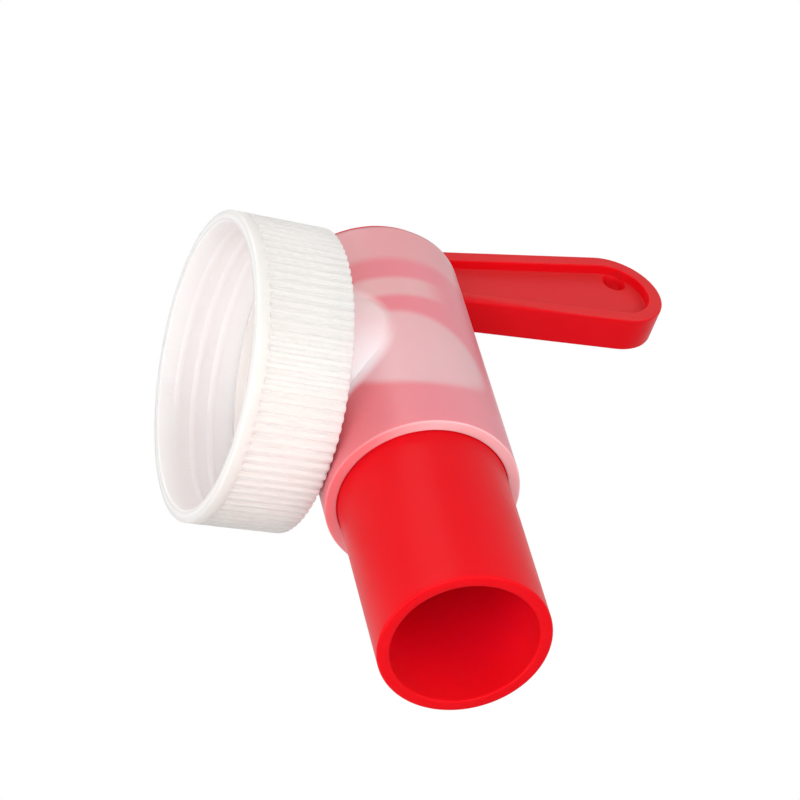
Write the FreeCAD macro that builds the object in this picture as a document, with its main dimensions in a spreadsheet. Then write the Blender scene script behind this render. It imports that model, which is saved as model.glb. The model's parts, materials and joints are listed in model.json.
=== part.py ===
import FreeCAD, Part

import math
import os

import Sketcher

# Bottle tap: a screw cap with a sealing washer, a body with a housing and a neck, and a turning
# plug moulded in one with its spout, head and lever.
# Origin: centre of the cap's open mouth. +X runs from the bottle through the cap to the tap.
# +Z is up along the plug's axis: the lever is on top and the spout points down.

# Driving sizes in millimetres, apart from counts and angles in degrees
SIZES = {
    # Screw cap
    "cap_bore_radius": 32.3,        # wall that carries the bottle's thread
    "cap_skirt_wall": 2.9,          # at the mouth, outside the bore
    "cap_taper": 0.6,               # radius lost from the mouth to the far edge
    "cap_length": 22.8,
    "cap_end_wall": 2.2,
    "cap_lip_width": 2.8,           # plain band before the grip grooves
    "cap_lip_round": 0.7,
    "cap_seat_step": 0.7,           # the washer's seat is this much smaller than the bore
    "groove_count": 90,
    "groove_width": 1.2,
    "groove_depth": 1.1,
    # Sealing washer
    "washer_thickness": 2.6,
    "washer_rim_gap": 0.3,
    # Neck and collar of the body
    "neck_bore_radius": 18.2,
    "neck_wall": 2.5,
    "collar_overhang": 3.6,         # what snaps in behind the cap's end wall
    "collar_thickness": 2.3,
    "swivel_gap": 0.3,              # round the neck, and behind and round the collar
    "cap_to_housing_gap": 0.4,
    # Housing of the body
    "housing_wall": 2.54,
    "housing_above_axis": 34.5,
    "housing_below_axis": 36.5,
    "inlet_radius": 11.5,
    "inlet_drop": 5.0,              # centre of inlet and port under the cap's axis
    "housing_edge_chamfer": 0.4,
    # Plug
    "spout_radius": 19.0,
    "spout_wall": 2.8,
    "land_rise": 0.2,               # what the sealing lands stand out beyond the spout
    "plug_fit": 0.06,               # radial clearance of the lands in the housing
    "port_radius": 14.0,
    "spout_length": 48.0,           # below the housing
    "spout_lip_round": 0.6,
    "relief_depth": 0.8,            # between the lands
    "lower_seal_top": 11.0,
    "upper_seal_bottom": 18.0,
    "upper_seal_top": 26.0,
    "bead_drop": 31.5,              # centre of the snap bead under the cap's axis
    "bead_width": 2.4,
    "bead_rise": 0.35,
    "bead_gap": 0.12,
    # Head of the plug, and the stop that limits its turn
    "head_overhang": 1.8,           # beyond the lands
    "head_thickness": 2.0,
    "head_gap": 0.2,
    "stop_rise": 1.0,
    "stop_height": 1.8,
    "stop_gap": 0.25,
    "stop_angle": 14.0,
    "stop_angle_gap": 1.0,
    "turn_angle": 90.0,
    # Lever
    "lever_thickness": 8.8,
    "lever_web": 3.8,
    "lever_rim": 3.4,
    "lever_reach": 77.6,            # tip from the plug's axis
    "lever_tip_radius": 12.4,
    "lever_tip_height": 15.4,       # tip's centre above the head's underside
    "lever_root_height": 12.2,      # top edge above the head's underside, at the root
    "lever_root_reach": 12.0,       # root behind the plug's axis
    "lever_root_slope": 5.0,        # further back at the foot than at the top
    "lever_heel_inset": 1.0,        # lower edge starts this far inside the head's rim
    "lever_recess_start": 8.0,
    "hang_hole_radius": 2.4,
    "hang_hole_along": 2.4,         # from the tip's centre along the lever
    "hang_hole_up": 6.2,            # from the tip's centre upwards
}

SHEET = "Sizes"


class Size:
    """A length with its value and the expression that ties it to the sheet."""

    def __init__(self, value, text):
        self.value = value
        self.text = text

    def _join(self, other, sign, value):
        other_text = other.text if isinstance(other, Size) else repr(float(other))
        return Size(value, f"({self.text} {sign} {other_text})")

    def __add__(self, other):
        return self._join(other, "+", self.value + number(other))

    def __sub__(self, other):
        return self._join(other, "-", self.value - number(other))

    def __mul__(self, other):
        return self._join(other, "*", self.value * number(other))

    def __truediv__(self, other):
        return self._join(other, "/", self.value / number(other))

    def __neg__(self):
        return Size(-self.value, f"(-{self.text})")


def number(size):
    return size.value if isinstance(size, Size) else float(size)


ZERO = Size(0.0, "0")


def write_sheet(doc):
    """Writes the driving sizes as cells with aliases and returns them by name."""
    sheet = doc.addObject("Spreadsheet::Sheet", SHEET)
    for row, (alias, value) in enumerate(SIZES.items(), start=1):
        sheet.set(f"A{row}", alias)
        sheet.set(f"B{row}", str(value))
        sheet.setAlias(f"B{row}", alias)
    doc.recompute()
    return {alias: Size(float(sheet.get(alias)), f"{SHEET}.{alias}") for alias in SIZES}


def add_shared(d):
    """Sizes that follow from the driving ones and that several pieces meet at."""
    d["lip_radius"] = d["cap_bore_radius"] + d["cap_skirt_wall"]
    d["seat_radius"] = d["cap_bore_radius"] - d["cap_seat_step"]
    d["end_wall_inside"] = d["cap_length"] - d["cap_end_wall"]
    d["washer_face"] = d["end_wall_inside"] - d["washer_thickness"]
    d["neck_radius"] = d["neck_bore_radius"] + d["neck_wall"]
    d["collar_radius"] = d["neck_radius"] + d["collar_overhang"]
    d["land_radius"] = d["spout_radius"] + d["land_rise"]
    d["housing_bore"] = d["land_radius"] + d["plug_fit"]
    d["housing_radius"] = d["housing_bore"] + d["housing_wall"]
    d["axis_x"] = d["cap_length"] + d["cap_to_housing_gap"] + d["housing_radius"]
    d["head_bottom"] = d["housing_above_axis"] + d["head_gap"]
    d["head_top"] = d["head_bottom"] + d["head_thickness"]
    d["head_radius"] = d["land_radius"] + d["head_overhang"]
    d["spout_bore"] = d["spout_radius"] - d["spout_wall"]
    d["relief_radius"] = d["land_radius"] - d["relief_depth"]
    d["spout_mouth"] = -(d["housing_below_axis"] + d["spout_length"])
    return d


def new_body(doc, name, axis_x=None):
    """A body for one piece, standing on the plug's axis where axis_x is given."""
    body = doc.addObject("PartDesign::Body", name)
    body.Label = name
    if axis_x is not None:
        body.setExpression("Placement.Base.x", axis_x.text)
    doc.recompute()
    return body


def origin_feature(body, role):
    return [feature for feature in body.Origin.OriginFeatures if feature.Role == role][0]


def new_sketch(body, name, plane, height=None, turn=None):
    """A sketch on one of the body's own origin planes, raised or turned about its upright."""
    sketch = body.newObject("Sketcher::SketchObject", name)
    sketch.AttachmentSupport = [(origin_feature(body, plane), "")]
    sketch.MapMode = "FlatFace"
    if height is not None:
        sketch.setExpression("AttachmentOffset.Base.z", height.text)
    if turn is not None:
        sketch.AttachmentOffset = FreeCAD.Placement(
            FreeCAD.Vector(0, 0, 0), FreeCAD.Rotation(FreeCAD.Vector(0, 1, 0), turn.value))
        sketch.setExpression("AttachmentOffset.Rotation.Angle", turn.text)
    body.Document.recompute()
    return sketch


def tie(sketch, constraint, size):
    """Adds a measured constraint that follows the sheet."""
    index = sketch.addConstraint(constraint)
    sketch.setExpression(f"Constraints[{index}]", size.text)


def fix_point(sketch, edge, end, x, y):
    """Ties one end or centre of an edge to its place from the sketch's origin."""
    for kind, axis, size in (("DistanceX", -2, x), ("DistanceY", -1, y)):
        if size is ZERO:
            sketch.addConstraint(Sketcher.Constraint("PointOnObject", edge, end, axis))
        else:
            tie(sketch, Sketcher.Constraint(kind, -1, 1, edge, end, size.value), size)


def point(x, y):
    return FreeCAD.Vector(number(x), number(y), 0)


def outline(sketch, corners):
    """A closed outline of straight edges through its corners."""
    points = [point(x, y) for x, y in corners]
    for start, end in zip(points, points[1:] + points[:1]):
        sketch.addGeometry(Part.LineSegment(start, end), False)
    for edge in range(len(points)):
        after = (edge + 1) % len(points)
        sketch.addConstraint(Sketcher.Constraint("Coincident", edge, 2, after, 1))
    for edge, (x, y) in enumerate(corners):
        fix_point(sketch, edge, 1, x, y)


def circle(sketch, x, y, radius):
    ring = Part.Circle(point(x, y), FreeCAD.Vector(0, 0, 1), radius.value)
    edge = sketch.addGeometry(ring, False)
    fix_point(sketch, edge, 3, x, y)
    tie(sketch, Sketcher.Constraint("Radius", edge, radius.value), radius)


def pad(body, name, sketch, length, both_ways=False):
    """Raises a sketch from its plane, or to both sides of it."""
    raised = body.newObject("PartDesign::Pad", name)
    raised.Profile = sketch
    if both_ways:
        raised.SideType = "Symmetric"
    raised.setExpression("Length", length.text)
    body.Document.recompute()
    return raised


def pocket(body, name, sketch, depth=None, reverse=False, both_ways=False):
    """Cuts a sketch to a depth, or right through where no depth is given."""
    before = body.Shape.Volume
    cut = body.newObject("PartDesign::Pocket", name)
    cut.Profile = sketch
    cut.Reversed = reverse
    if both_ways:
        cut.SideType = "Symmetric"
    if depth is None:
        cut.Type = "ThroughAll"
    else:
        cut.setExpression("Length", depth.text)
    body.Document.recompute()
    check_cut(body, name, before)
    return cut


def check_cut(body, name, before):
    if not body.Shape.Volume < before:
        raise RuntimeError(f"{name} cuts nothing")


def revolve(body, name, sketch, axis, angle=None):
    """Turns a profile round its sketch's axis, all round or half of an angle to each side."""
    solid = body.newObject("PartDesign::Revolution", name)
    return turn_profile(body, solid, sketch, axis, angle)


def groove(body, name, sketch, axis, angle=None):
    """Cuts a ring, or part of one, with a profile turned round its sketch's axis."""
    before = body.Shape.Volume
    cut = turn_profile(body, body.newObject("PartDesign::Groove", name), sketch, axis, angle)
    check_cut(body, name, before)
    return cut


def turn_profile(body, feature, sketch, axis, angle):
    feature.Profile = sketch
    feature.ReferenceAxis = (sketch, [axis])
    feature.Angle = 360.0
    if angle is not None:
        feature.Midplane = True
        feature.setExpression("Angle", angle.text)
    body.Document.recompute()
    return feature


def pick_edges(feature, test):
    """Names of the feature's edges that pass a test."""
    return [f"Edge{i}" for i, edge in enumerate(feature.Shape.Edges, start=1) if test(edge)]


def is_ring(edge, axis, place, radius):
    """True for a circle of this radius whose centre has this place along an axis."""
    curve = edge.Curve
    if not isinstance(curve, Part.Circle):
        return False
    near = 0.01
    return (abs(getattr(curve.Center, axis) - place.value) < near
            and abs(curve.Radius - radius.value) < near)


def dress(body, kind, name, feature, edges, size):
    """Rounds or chamfers the named edges."""
    if not edges:
        raise RuntimeError(f"{name} finds no edge")
    dressed = body.newObject(kind, name)
    dressed.Base = (feature, edges)
    dressed.setExpression("Radius" if kind.endswith("Fillet") else "Size", size.text)
    body.Document.recompute()
    return dressed


# Screw cap


def make_screw_cap(doc, d):
    """Cap with a plain lip, grip grooves, a bore for the bottle and a hole for the neck."""
    body = new_body(doc, "screw_cap")
    sketch = new_sketch(body, "cap_section", "XY_Plane")
    hole_radius = d["neck_radius"] + d["swivel_gap"]
    outline(sketch, [
        (ZERO, d["cap_bore_radius"]),
        (ZERO, d["lip_radius"]),
        (d["cap_length"], d["lip_radius"] - d["cap_taper"]),
        (d["cap_length"], hole_radius),
        (d["end_wall_inside"], hole_radius),
        (d["end_wall_inside"], d["seat_radius"]),
        (d["washer_face"], d["seat_radius"]),
        (d["washer_face"], d["cap_bore_radius"]),
    ])
    turned = revolve(body, "cap_turned", sketch, "H_Axis")
    lip = pick_edges(turned, lambda edge: is_ring(edge, "x", ZERO, d["lip_radius"]))
    dress(body, "PartDesign::Fillet", "cap_lip_rounded", turned, lip, d["cap_lip_round"])
    cut_grip_grooves(body, d)
    return body


def cut_grip_grooves(body, d):
    """Grooves along the skirt from the lip to the far edge, each with a pointed start."""
    sketch = new_sketch(body, "groove_outline", "XY_Plane", height=d["lip_radius"])
    half = d["groove_width"] / 2
    nose = half / 2
    shoulder = d["cap_lip_width"] + half
    past_end = d["cap_length"] + half
    outline(sketch, [
        (d["cap_lip_width"], -nose),
        (shoulder, -half),
        (past_end, -half),
        (past_end, half),
        (shoulder, half),
        (d["cap_lip_width"], nose),
    ])
    first = pocket(body, "grip_groove", sketch, d["groove_depth"])
    grooves = body.newObject("PartDesign::PolarPattern", "grip_grooves")
    grooves.Originals = [first]
    grooves.Axis = (origin_feature(body, "X_Axis"), [""])
    grooves.Angle = 360.0
    grooves.setExpression("Occurrences", d["groove_count"].text)
    body.Tip = grooves
    body.Document.recompute()


# Sealing washer


def make_sealing_washer(doc, d):
    """Flat ring on the cap's end wall, round the collar, that the bottle's lip presses on."""
    body = new_body(doc, "sealing_washer")
    sketch = new_sketch(body, "washer_section", "XY_Plane")
    inside = d["collar_radius"] + d["swivel_gap"]
    outside = d["seat_radius"] - d["washer_rim_gap"]
    outline(sketch, [
        (d["washer_face"], inside),
        (d["washer_face"], outside),
        (d["end_wall_inside"], outside),
        (d["end_wall_inside"], inside),
    ])
    revolve(body, "washer_turned", sketch, "H_Axis")
    return body


# Tap body


def make_tap_body(doc, d):
    """Housing for the plug, with a neck that ends in a collar inside the cap."""
    body = new_body(doc, "tap_body", d["axis_x"])
    add_neck(body, d)
    add_housing(body, d)
    cut_bore(body, d)
    cut_stop_track(body, d)
    return body


def add_neck(body, d):
    sketch = new_sketch(body, "neck_section", "XY_Plane")
    collar_back = d["end_wall_inside"] - d["swivel_gap"] - d["axis_x"]
    collar_front = collar_back - d["collar_thickness"]
    outline(sketch, [
        (collar_front, d["neck_bore_radius"]),
        (collar_front, d["collar_radius"]),
        (collar_back, d["collar_radius"]),
        (collar_back, d["neck_radius"]),
        (ZERO, d["neck_radius"]),
        (ZERO, d["neck_bore_radius"]),
    ])
    revolve(body, "neck_turned", sketch, "H_Axis")


def add_housing(body, d):
    sketch = new_sketch(body, "housing_circle", "XY_Plane", height=-d["housing_below_axis"])
    circle(sketch, ZERO, ZERO, d["housing_radius"])
    housing = pad(body, "housing", sketch, d["housing_above_axis"] + d["housing_below_axis"])
    rims = []
    for place in (d["housing_above_axis"], -d["housing_below_axis"]):
        rims += pick_edges(housing, lambda edge: is_ring(edge, "z", place, d["housing_radius"]))
    dress(body, "PartDesign::Chamfer", "housing_rims", housing, rims, d["housing_edge_chamfer"])


def cut_bore(body, d):
    """Bore for the plug, the groove for its bead, and the inlet through the housing's wall."""
    bore = new_sketch(body, "bore_circle", "XY_Plane", height=d["housing_above_axis"])
    circle(bore, ZERO, ZERO, d["housing_bore"])
    pocket(body, "bore", bore)
    bead = new_sketch(body, "bead_groove_section", "XZ_Plane")
    outline(bead, bead_corners(d, d["bead_gap"], d["relief_radius"]))
    groove(body, "bead_groove", bead, "V_Axis")
    inlet = new_sketch(body, "inlet_circle", "YZ_Plane")
    circle(inlet, ZERO, -d["inlet_drop"], d["inlet_radius"])
    pocket(body, "inlet", inlet)


def bead_corners(d, gap, inside):
    """Section of the snap bead, or of its groove where a gap is given."""
    middle = -d["bead_drop"]
    foot = d["bead_width"] / 2 + gap
    crest = d["bead_width"] / 6 + gap
    outside = d["land_radius"] + d["bead_rise"] + gap
    return [
        (inside, middle - foot),
        (d["land_radius"], middle - foot),
        (outside, middle - crest),
        (outside, middle + crest),
        (d["land_radius"], middle + foot),
        (inside, middle + foot),
    ]


def cut_stop_track(body, d):
    """Step in the bore's top that the plug's stop travels in, a quarter turn from end to end."""
    back_to_middle = -(d["turn_angle"] / 2)
    sketch = new_sketch(body, "stop_track_section", "XZ_Plane", turn=back_to_middle)
    outside = -(d["land_radius"] + d["stop_rise"] + d["stop_gap"])
    floor = d["head_bottom"] - d["stop_height"] - d["stop_gap"]
    outline(sketch, [
        (-d["relief_radius"], floor),
        (-d["relief_radius"], d["head_top"]),
        (outside, d["head_top"]),
        (outside, floor),
    ])
    track_angle = d["turn_angle"] + d["stop_angle"] + d["stop_angle_gap"] * 2
    groove(body, "stop_track", sketch, "V_Axis", track_angle)


# Plug


def make_valve_plug(doc, d):
    """Plug with its spout, head and lever, all one moulding."""
    body = new_body(doc, "valve_plug", d["axis_x"])
    turned = add_barrel(body, d)
    mouth = pick_edges(turned, lambda edge: is_ring(edge, "z", d["spout_mouth"], d["spout_radius"]))
    dress(body, "PartDesign::Fillet", "spout_lip_rounded", turned, mouth, d["spout_lip_round"])
    add_stop(body, d)
    add_lever(body, d)
    cut_port(body, d)
    return body


def add_barrel(body, d):
    """Hollow barrel with its bead, two sealing lands, a closed head and a slimmer spout below."""
    sketch = new_sketch(body, "plug_section", "XZ_Plane")
    outline(sketch, [
        (d["spout_bore"], d["spout_mouth"]),
        (d["spout_radius"], d["spout_mouth"]),
        (d["spout_radius"], -d["housing_below_axis"]),
        (d["land_radius"], -d["housing_below_axis"]),
        *bead_corners(d, ZERO, d["relief_radius"])[1:5],
        (d["land_radius"], d["lower_seal_top"]),
        (d["relief_radius"], d["lower_seal_top"]),
        (d["relief_radius"], d["upper_seal_bottom"]),
        (d["land_radius"], d["upper_seal_bottom"]),
        (d["land_radius"], d["upper_seal_top"]),
        (d["relief_radius"], d["upper_seal_top"]),
        (d["relief_radius"], d["head_bottom"]),
        (d["head_radius"], d["head_bottom"]),
        (d["head_radius"], d["head_top"]),
        (ZERO, d["head_top"]),
        (ZERO, d["head_bottom"]),
        (d["spout_bore"], d["head_bottom"]),
    ])
    return revolve(body, "plug_turned", sketch, "V_Axis")


def add_stop(body, d):
    """Lug under the head that meets the ends of the track in the body."""
    sketch = new_sketch(body, "stop_section", "XZ_Plane")
    outside = -(d["land_radius"] + d["stop_rise"])
    inside = -(d["relief_radius"] - d["relief_depth"])
    overlap = d["head_bottom"] + d["head_thickness"] / 2
    outline(sketch, [
        (inside, d["head_bottom"] - d["stop_height"]),
        (inside, overlap),
        (outside, overlap),
        (outside, d["head_bottom"] - d["stop_height"]),
    ])
    revolve(body, "stop", sketch, "V_Axis", d["stop_angle"])


def cut_port(body, d):
    """Round window in the barrel's wall, a quarter turn from the inlet when the tap is shut."""
    sketch = new_sketch(body, "port_circle", "XZ_Plane")
    circle(sketch, ZERO, -d["inlet_drop"], d["port_radius"])
    pocket(body, "port", sketch, reverse=True)


def add_lever(body, d):
    """Upright paddle from the head: a rim all round a thinner web, with a hole near the tip."""
    rim = new_sketch(body, "lever_rim_outline", "XZ_Plane")
    draw_lever(rim, d, with_recess=True)
    pad(body, "lever_rim_raised", rim, d["lever_thickness"], both_ways=True)
    web = new_sketch(body, "lever_web_outline", "XZ_Plane")
    draw_lever(web, d, with_recess=False)
    pad(body, "lever_web_raised", web, d["lever_web"], both_ways=True)
    hole = new_sketch(body, "hang_hole_circle", "XZ_Plane")
    centre_x, centre_y = lever_tip_centre(d)
    circle(hole, centre_x + d["hang_hole_along"], centre_y + d["hang_hole_up"], d["hang_hole_radius"])
    pocket(body, "hang_hole", hole, d["lever_web"] * 2, both_ways=True)


def lever_tip_centre(d):
    return d["lever_reach"] - d["lever_tip_radius"], d["head_bottom"] + d["lever_tip_height"]


def touch_point(start, centre, radius, side):
    """Where a line from start touches the circle, on its upper side (1) or lower side (-1)."""
    away = start.sub(centre)
    angle = math.atan2(away.y, away.x) - side * math.acos(radius / away.Length)
    return centre.add(FreeCAD.Vector(radius * math.cos(angle), radius * math.sin(angle), 0))


def draw_tip_arc(sketch, centre, radius, first, last):
    """Arc round the lever's tip, from its lower touch point to its upper one."""
    angles = [math.atan2(p.y - centre.y, p.x - centre.x) for p in (first, last)]
    ring = Part.Circle(centre, FreeCAD.Vector(0, 0, 1), radius)
    return sketch.addGeometry(Part.ArcOfCircle(ring, *angles), False)


def draw_lever(sketch, d, with_recess):
    """Lower edge, round tip, upper edge and sloping root, down to the inside of the head."""
    centre_x, centre_y = lever_tip_centre(d)
    centre = point(centre_x, centre_y)
    radius = d["lever_tip_radius"]
    heel_x = d["head_radius"] - d["lever_heel_inset"]
    inside_head = d["head_bottom"] + d["head_thickness"] / 2
    heel = (heel_x, d["head_bottom"])
    shoulder = (-d["lever_root_reach"], d["head_bottom"] + d["lever_root_height"])
    foot = (-(d["lever_root_reach"] + d["lever_root_slope"]), inside_head)
    sill = (heel_x, inside_head)
    low_touch = touch_point(point(*heel), centre, radius.value, -1)
    high_touch = touch_point(point(*shoulder), centre, radius.value, 1)

    lower = sketch.addGeometry(Part.LineSegment(point(*heel), low_touch), False)
    tip = draw_tip_arc(sketch, centre, radius.value, low_touch, high_touch)
    runs = [(high_touch, point(*shoulder)), (point(*shoulder), point(*foot)),
            (point(*foot), point(*sill)), (point(*sill), point(*heel))]
    upper, back, base, rise = [sketch.addGeometry(Part.LineSegment(a, b), False) for a, b in runs]
    for first, second in ((upper, back), (back, base), (base, rise), (rise, lower)):
        sketch.addConstraint(Sketcher.Constraint("Coincident", first, 2, second, 1))
    sketch.addConstraint(Sketcher.Constraint("Tangent", lower, 2, tip, 1))
    sketch.addConstraint(Sketcher.Constraint("Tangent", tip, 2, upper, 1))
    tie(sketch, Sketcher.Constraint("Radius", tip, radius.value), radius)
    fix_point(sketch, tip, 3, centre_x, centre_y)
    for edge, corner in ((lower, heel), (back, shoulder), (base, foot), (rise, sill)):
        fix_point(sketch, edge, 1, *corner)
    if with_recess:
        draw_recess(sketch, d, centre, lower, tip, upper)


def draw_recess(sketch, d, centre, lower, tip, upper):
    """Inner outline of the rim: parallel to both edges, round the same centre at the tip."""
    radius = d["lever_tip_radius"] - d["lever_rim"]
    start_x = d["lever_recess_start"]
    edges = [sketch.Geometry[lower], sketch.Geometry[upper]]
    touches = []
    corners = []
    for edge, side in zip(edges, (-1, 1)):
        along = edge.EndPoint.sub(edge.StartPoint).normalize()
        across = FreeCAD.Vector(-along.y, along.x, 0)
        touches.append(centre.add(across * (side * radius.value if along.x > 0 else -side * radius.value)))
        reach = (start_x.value - touches[-1].x) / along.x
        corners.append(touches[-1].add(along * reach))
    bottom = sketch.addGeometry(Part.LineSegment(corners[0], touches[0]), False)
    bend = draw_tip_arc(sketch, centre, radius.value, *touches)
    top = sketch.addGeometry(Part.LineSegment(touches[1], corners[1]), False)
    end = sketch.addGeometry(Part.LineSegment(corners[1], corners[0]), False)
    sketch.addConstraint(Sketcher.Constraint("Tangent", bottom, 2, bend, 1))
    sketch.addConstraint(Sketcher.Constraint("Tangent", bend, 2, top, 1))
    sketch.addConstraint(Sketcher.Constraint("Coincident", top, 2, end, 1))
    sketch.addConstraint(Sketcher.Constraint("Coincident", end, 2, bottom, 1))
    sketch.addConstraint(Sketcher.Constraint("Coincident", bend, 3, tip, 3))
    sketch.addConstraint(Sketcher.Constraint("Parallel", bottom, lower))
    sketch.addConstraint(Sketcher.Constraint("Parallel", top, upper))
    sketch.addConstraint(Sketcher.Constraint("Vertical", end))
    tie(sketch, Sketcher.Constraint("Radius", bend, radius.value), radius)
    tie(sketch, Sketcher.Constraint("DistanceX", -1, 1, end, 2, start_x.value), start_x)


def check_document(doc, pieces):
    """Stops where an object failed or a piece is no single valid solid."""
    for item in doc.Objects:
        if "Invalid" in item.State or "Error" in item.State:
            raise RuntimeError(f"{item.Label} failed: {item.State}")
    for piece in pieces:
        shape = piece.Shape
        if shape.isNull() or not shape.isValid() or len(shape.Solids) != 1:
            raise RuntimeError(f"{piece.Label} is no single valid solid")


def main():
    doc = FreeCAD.newDocument("bottle_tap")
    d = add_shared(write_sheet(doc))
    pieces = [
        make_screw_cap(doc, d),
        make_sealing_washer(doc, d),
        make_tap_body(doc, d),
        make_valve_plug(doc, d),
    ]
    doc.recompute()
    check_document(doc, pieces)
    os.makedirs("parts", exist_ok=True)
    for piece in pieces:
        piece.Shape.exportStep(f"parts/{piece.Label}.step")
        print(piece.Label, round(piece.Shape.Volume, 1), piece.Shape.BoundBox)


main()
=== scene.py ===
import json
import math

import bmesh
import bpy
from mathutils import Matrix, Vector


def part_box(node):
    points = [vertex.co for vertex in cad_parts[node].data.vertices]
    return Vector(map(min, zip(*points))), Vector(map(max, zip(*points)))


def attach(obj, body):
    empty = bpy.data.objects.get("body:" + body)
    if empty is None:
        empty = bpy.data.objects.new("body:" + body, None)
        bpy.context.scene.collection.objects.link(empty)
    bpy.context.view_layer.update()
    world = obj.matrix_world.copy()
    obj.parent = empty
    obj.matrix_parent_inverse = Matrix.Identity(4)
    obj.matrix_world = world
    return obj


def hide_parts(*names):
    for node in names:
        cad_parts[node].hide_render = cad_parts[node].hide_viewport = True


bl_info = {
    "name": "Bottle tap",
    "version": (1, 0, 0),
    "blender": (4, 5, 0),
    "location": "View3D > Sidebar > Bottle tap",
    "description": "Moulded pieces and finishes of a quarter-turn tap for a bottle or can",
    "category": "Object",
}

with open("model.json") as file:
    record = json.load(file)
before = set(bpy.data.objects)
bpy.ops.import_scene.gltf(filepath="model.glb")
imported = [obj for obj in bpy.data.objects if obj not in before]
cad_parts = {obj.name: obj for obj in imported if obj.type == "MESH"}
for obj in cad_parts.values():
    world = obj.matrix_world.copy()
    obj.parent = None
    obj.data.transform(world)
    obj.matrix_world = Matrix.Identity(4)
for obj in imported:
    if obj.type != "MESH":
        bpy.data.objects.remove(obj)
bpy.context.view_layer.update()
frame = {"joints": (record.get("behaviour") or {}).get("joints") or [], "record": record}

MM = 0.001
FULL_TURN = 2 * math.pi

# Places and radii that come from the frame
MOUNTS = {mount["name"]: mount for mount in frame["record"]["mounts"]}
JOINTS = {joint["name"]: joint for joint in frame["joints"]}
CAP_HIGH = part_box("screw_cap")[1]
WASHER_LOW, WASHER_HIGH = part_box("sealing_washer")
BODY_LOW, BODY_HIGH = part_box("tap_body")
PLUG_LOW, PLUG_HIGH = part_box("valve_plug")
CAP_BORE = MOUNTS["neck_thread"]["dims"]["r_mm"] * MM
SPOUT_RADIUS = MOUNTS["spout"]["dims"]["r_mm"] * MM
CAP_AXIS = Vector((0, 0, 0))
PLUG_AXIS = Vector(JOINTS["plug_turn"]["pos_m"])
HOUSING_RADIUS = BODY_HIGH.x - PLUG_AXIS.x
COLLAR_RADIUS = BODY_HIGH.y
HEAD_RADIUS = PLUG_HIGH.y

# Along, first and second direction outwards for a form turned round each axis
UNITS = [Vector(row) for row in Matrix.Identity(3)]
AXES = {name: UNITS[index:] + UNITS[:index] for index, name in enumerate("XYZ")}

# How forms are divided, joined and shaded
ROUND_STEPS = 192  # sides of a turned form
ARC_STEPS = 5  # steps along a rounded corner
LONGEST_STRETCH = 2 * MM  # between two points of a divided outline
SLIVER = 0.002 * MM  # edges shorter than this are welded
PAST = 1.0 * MM  # how far a cutting form reaches past what it cuts
SHARP_ANGLE = math.radians(38)  # edges that turn by more are shaded sharp

# Snap bead of the plug and its groove in the housing, with half widths of top and foot
BEAD_PLACE = -31.5 * MM  # its middle on the plug's axis
BEAD = {"height": 0.35 * MM, "top": 0.4 * MM, "foot": 1.2 * MM}
BEAD_GROOVE = {"height": 0.4 * MM, "top": 0.5 * MM, "foot": 1.4 * MM}

PLUG_PIECE = "valve_plug_moulding"


def length_size(name, description, default):
    return bpy.props.FloatProperty(
        name=name, description=description, default=default, min=0.0, unit="LENGTH", precision=5)


def colour_value(name, description, default):
    return bpy.props.FloatVectorProperty(
        name=name, description=description, default=default, size=3, min=0.0, max=1.0,
        subtype="COLOR")


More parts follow.
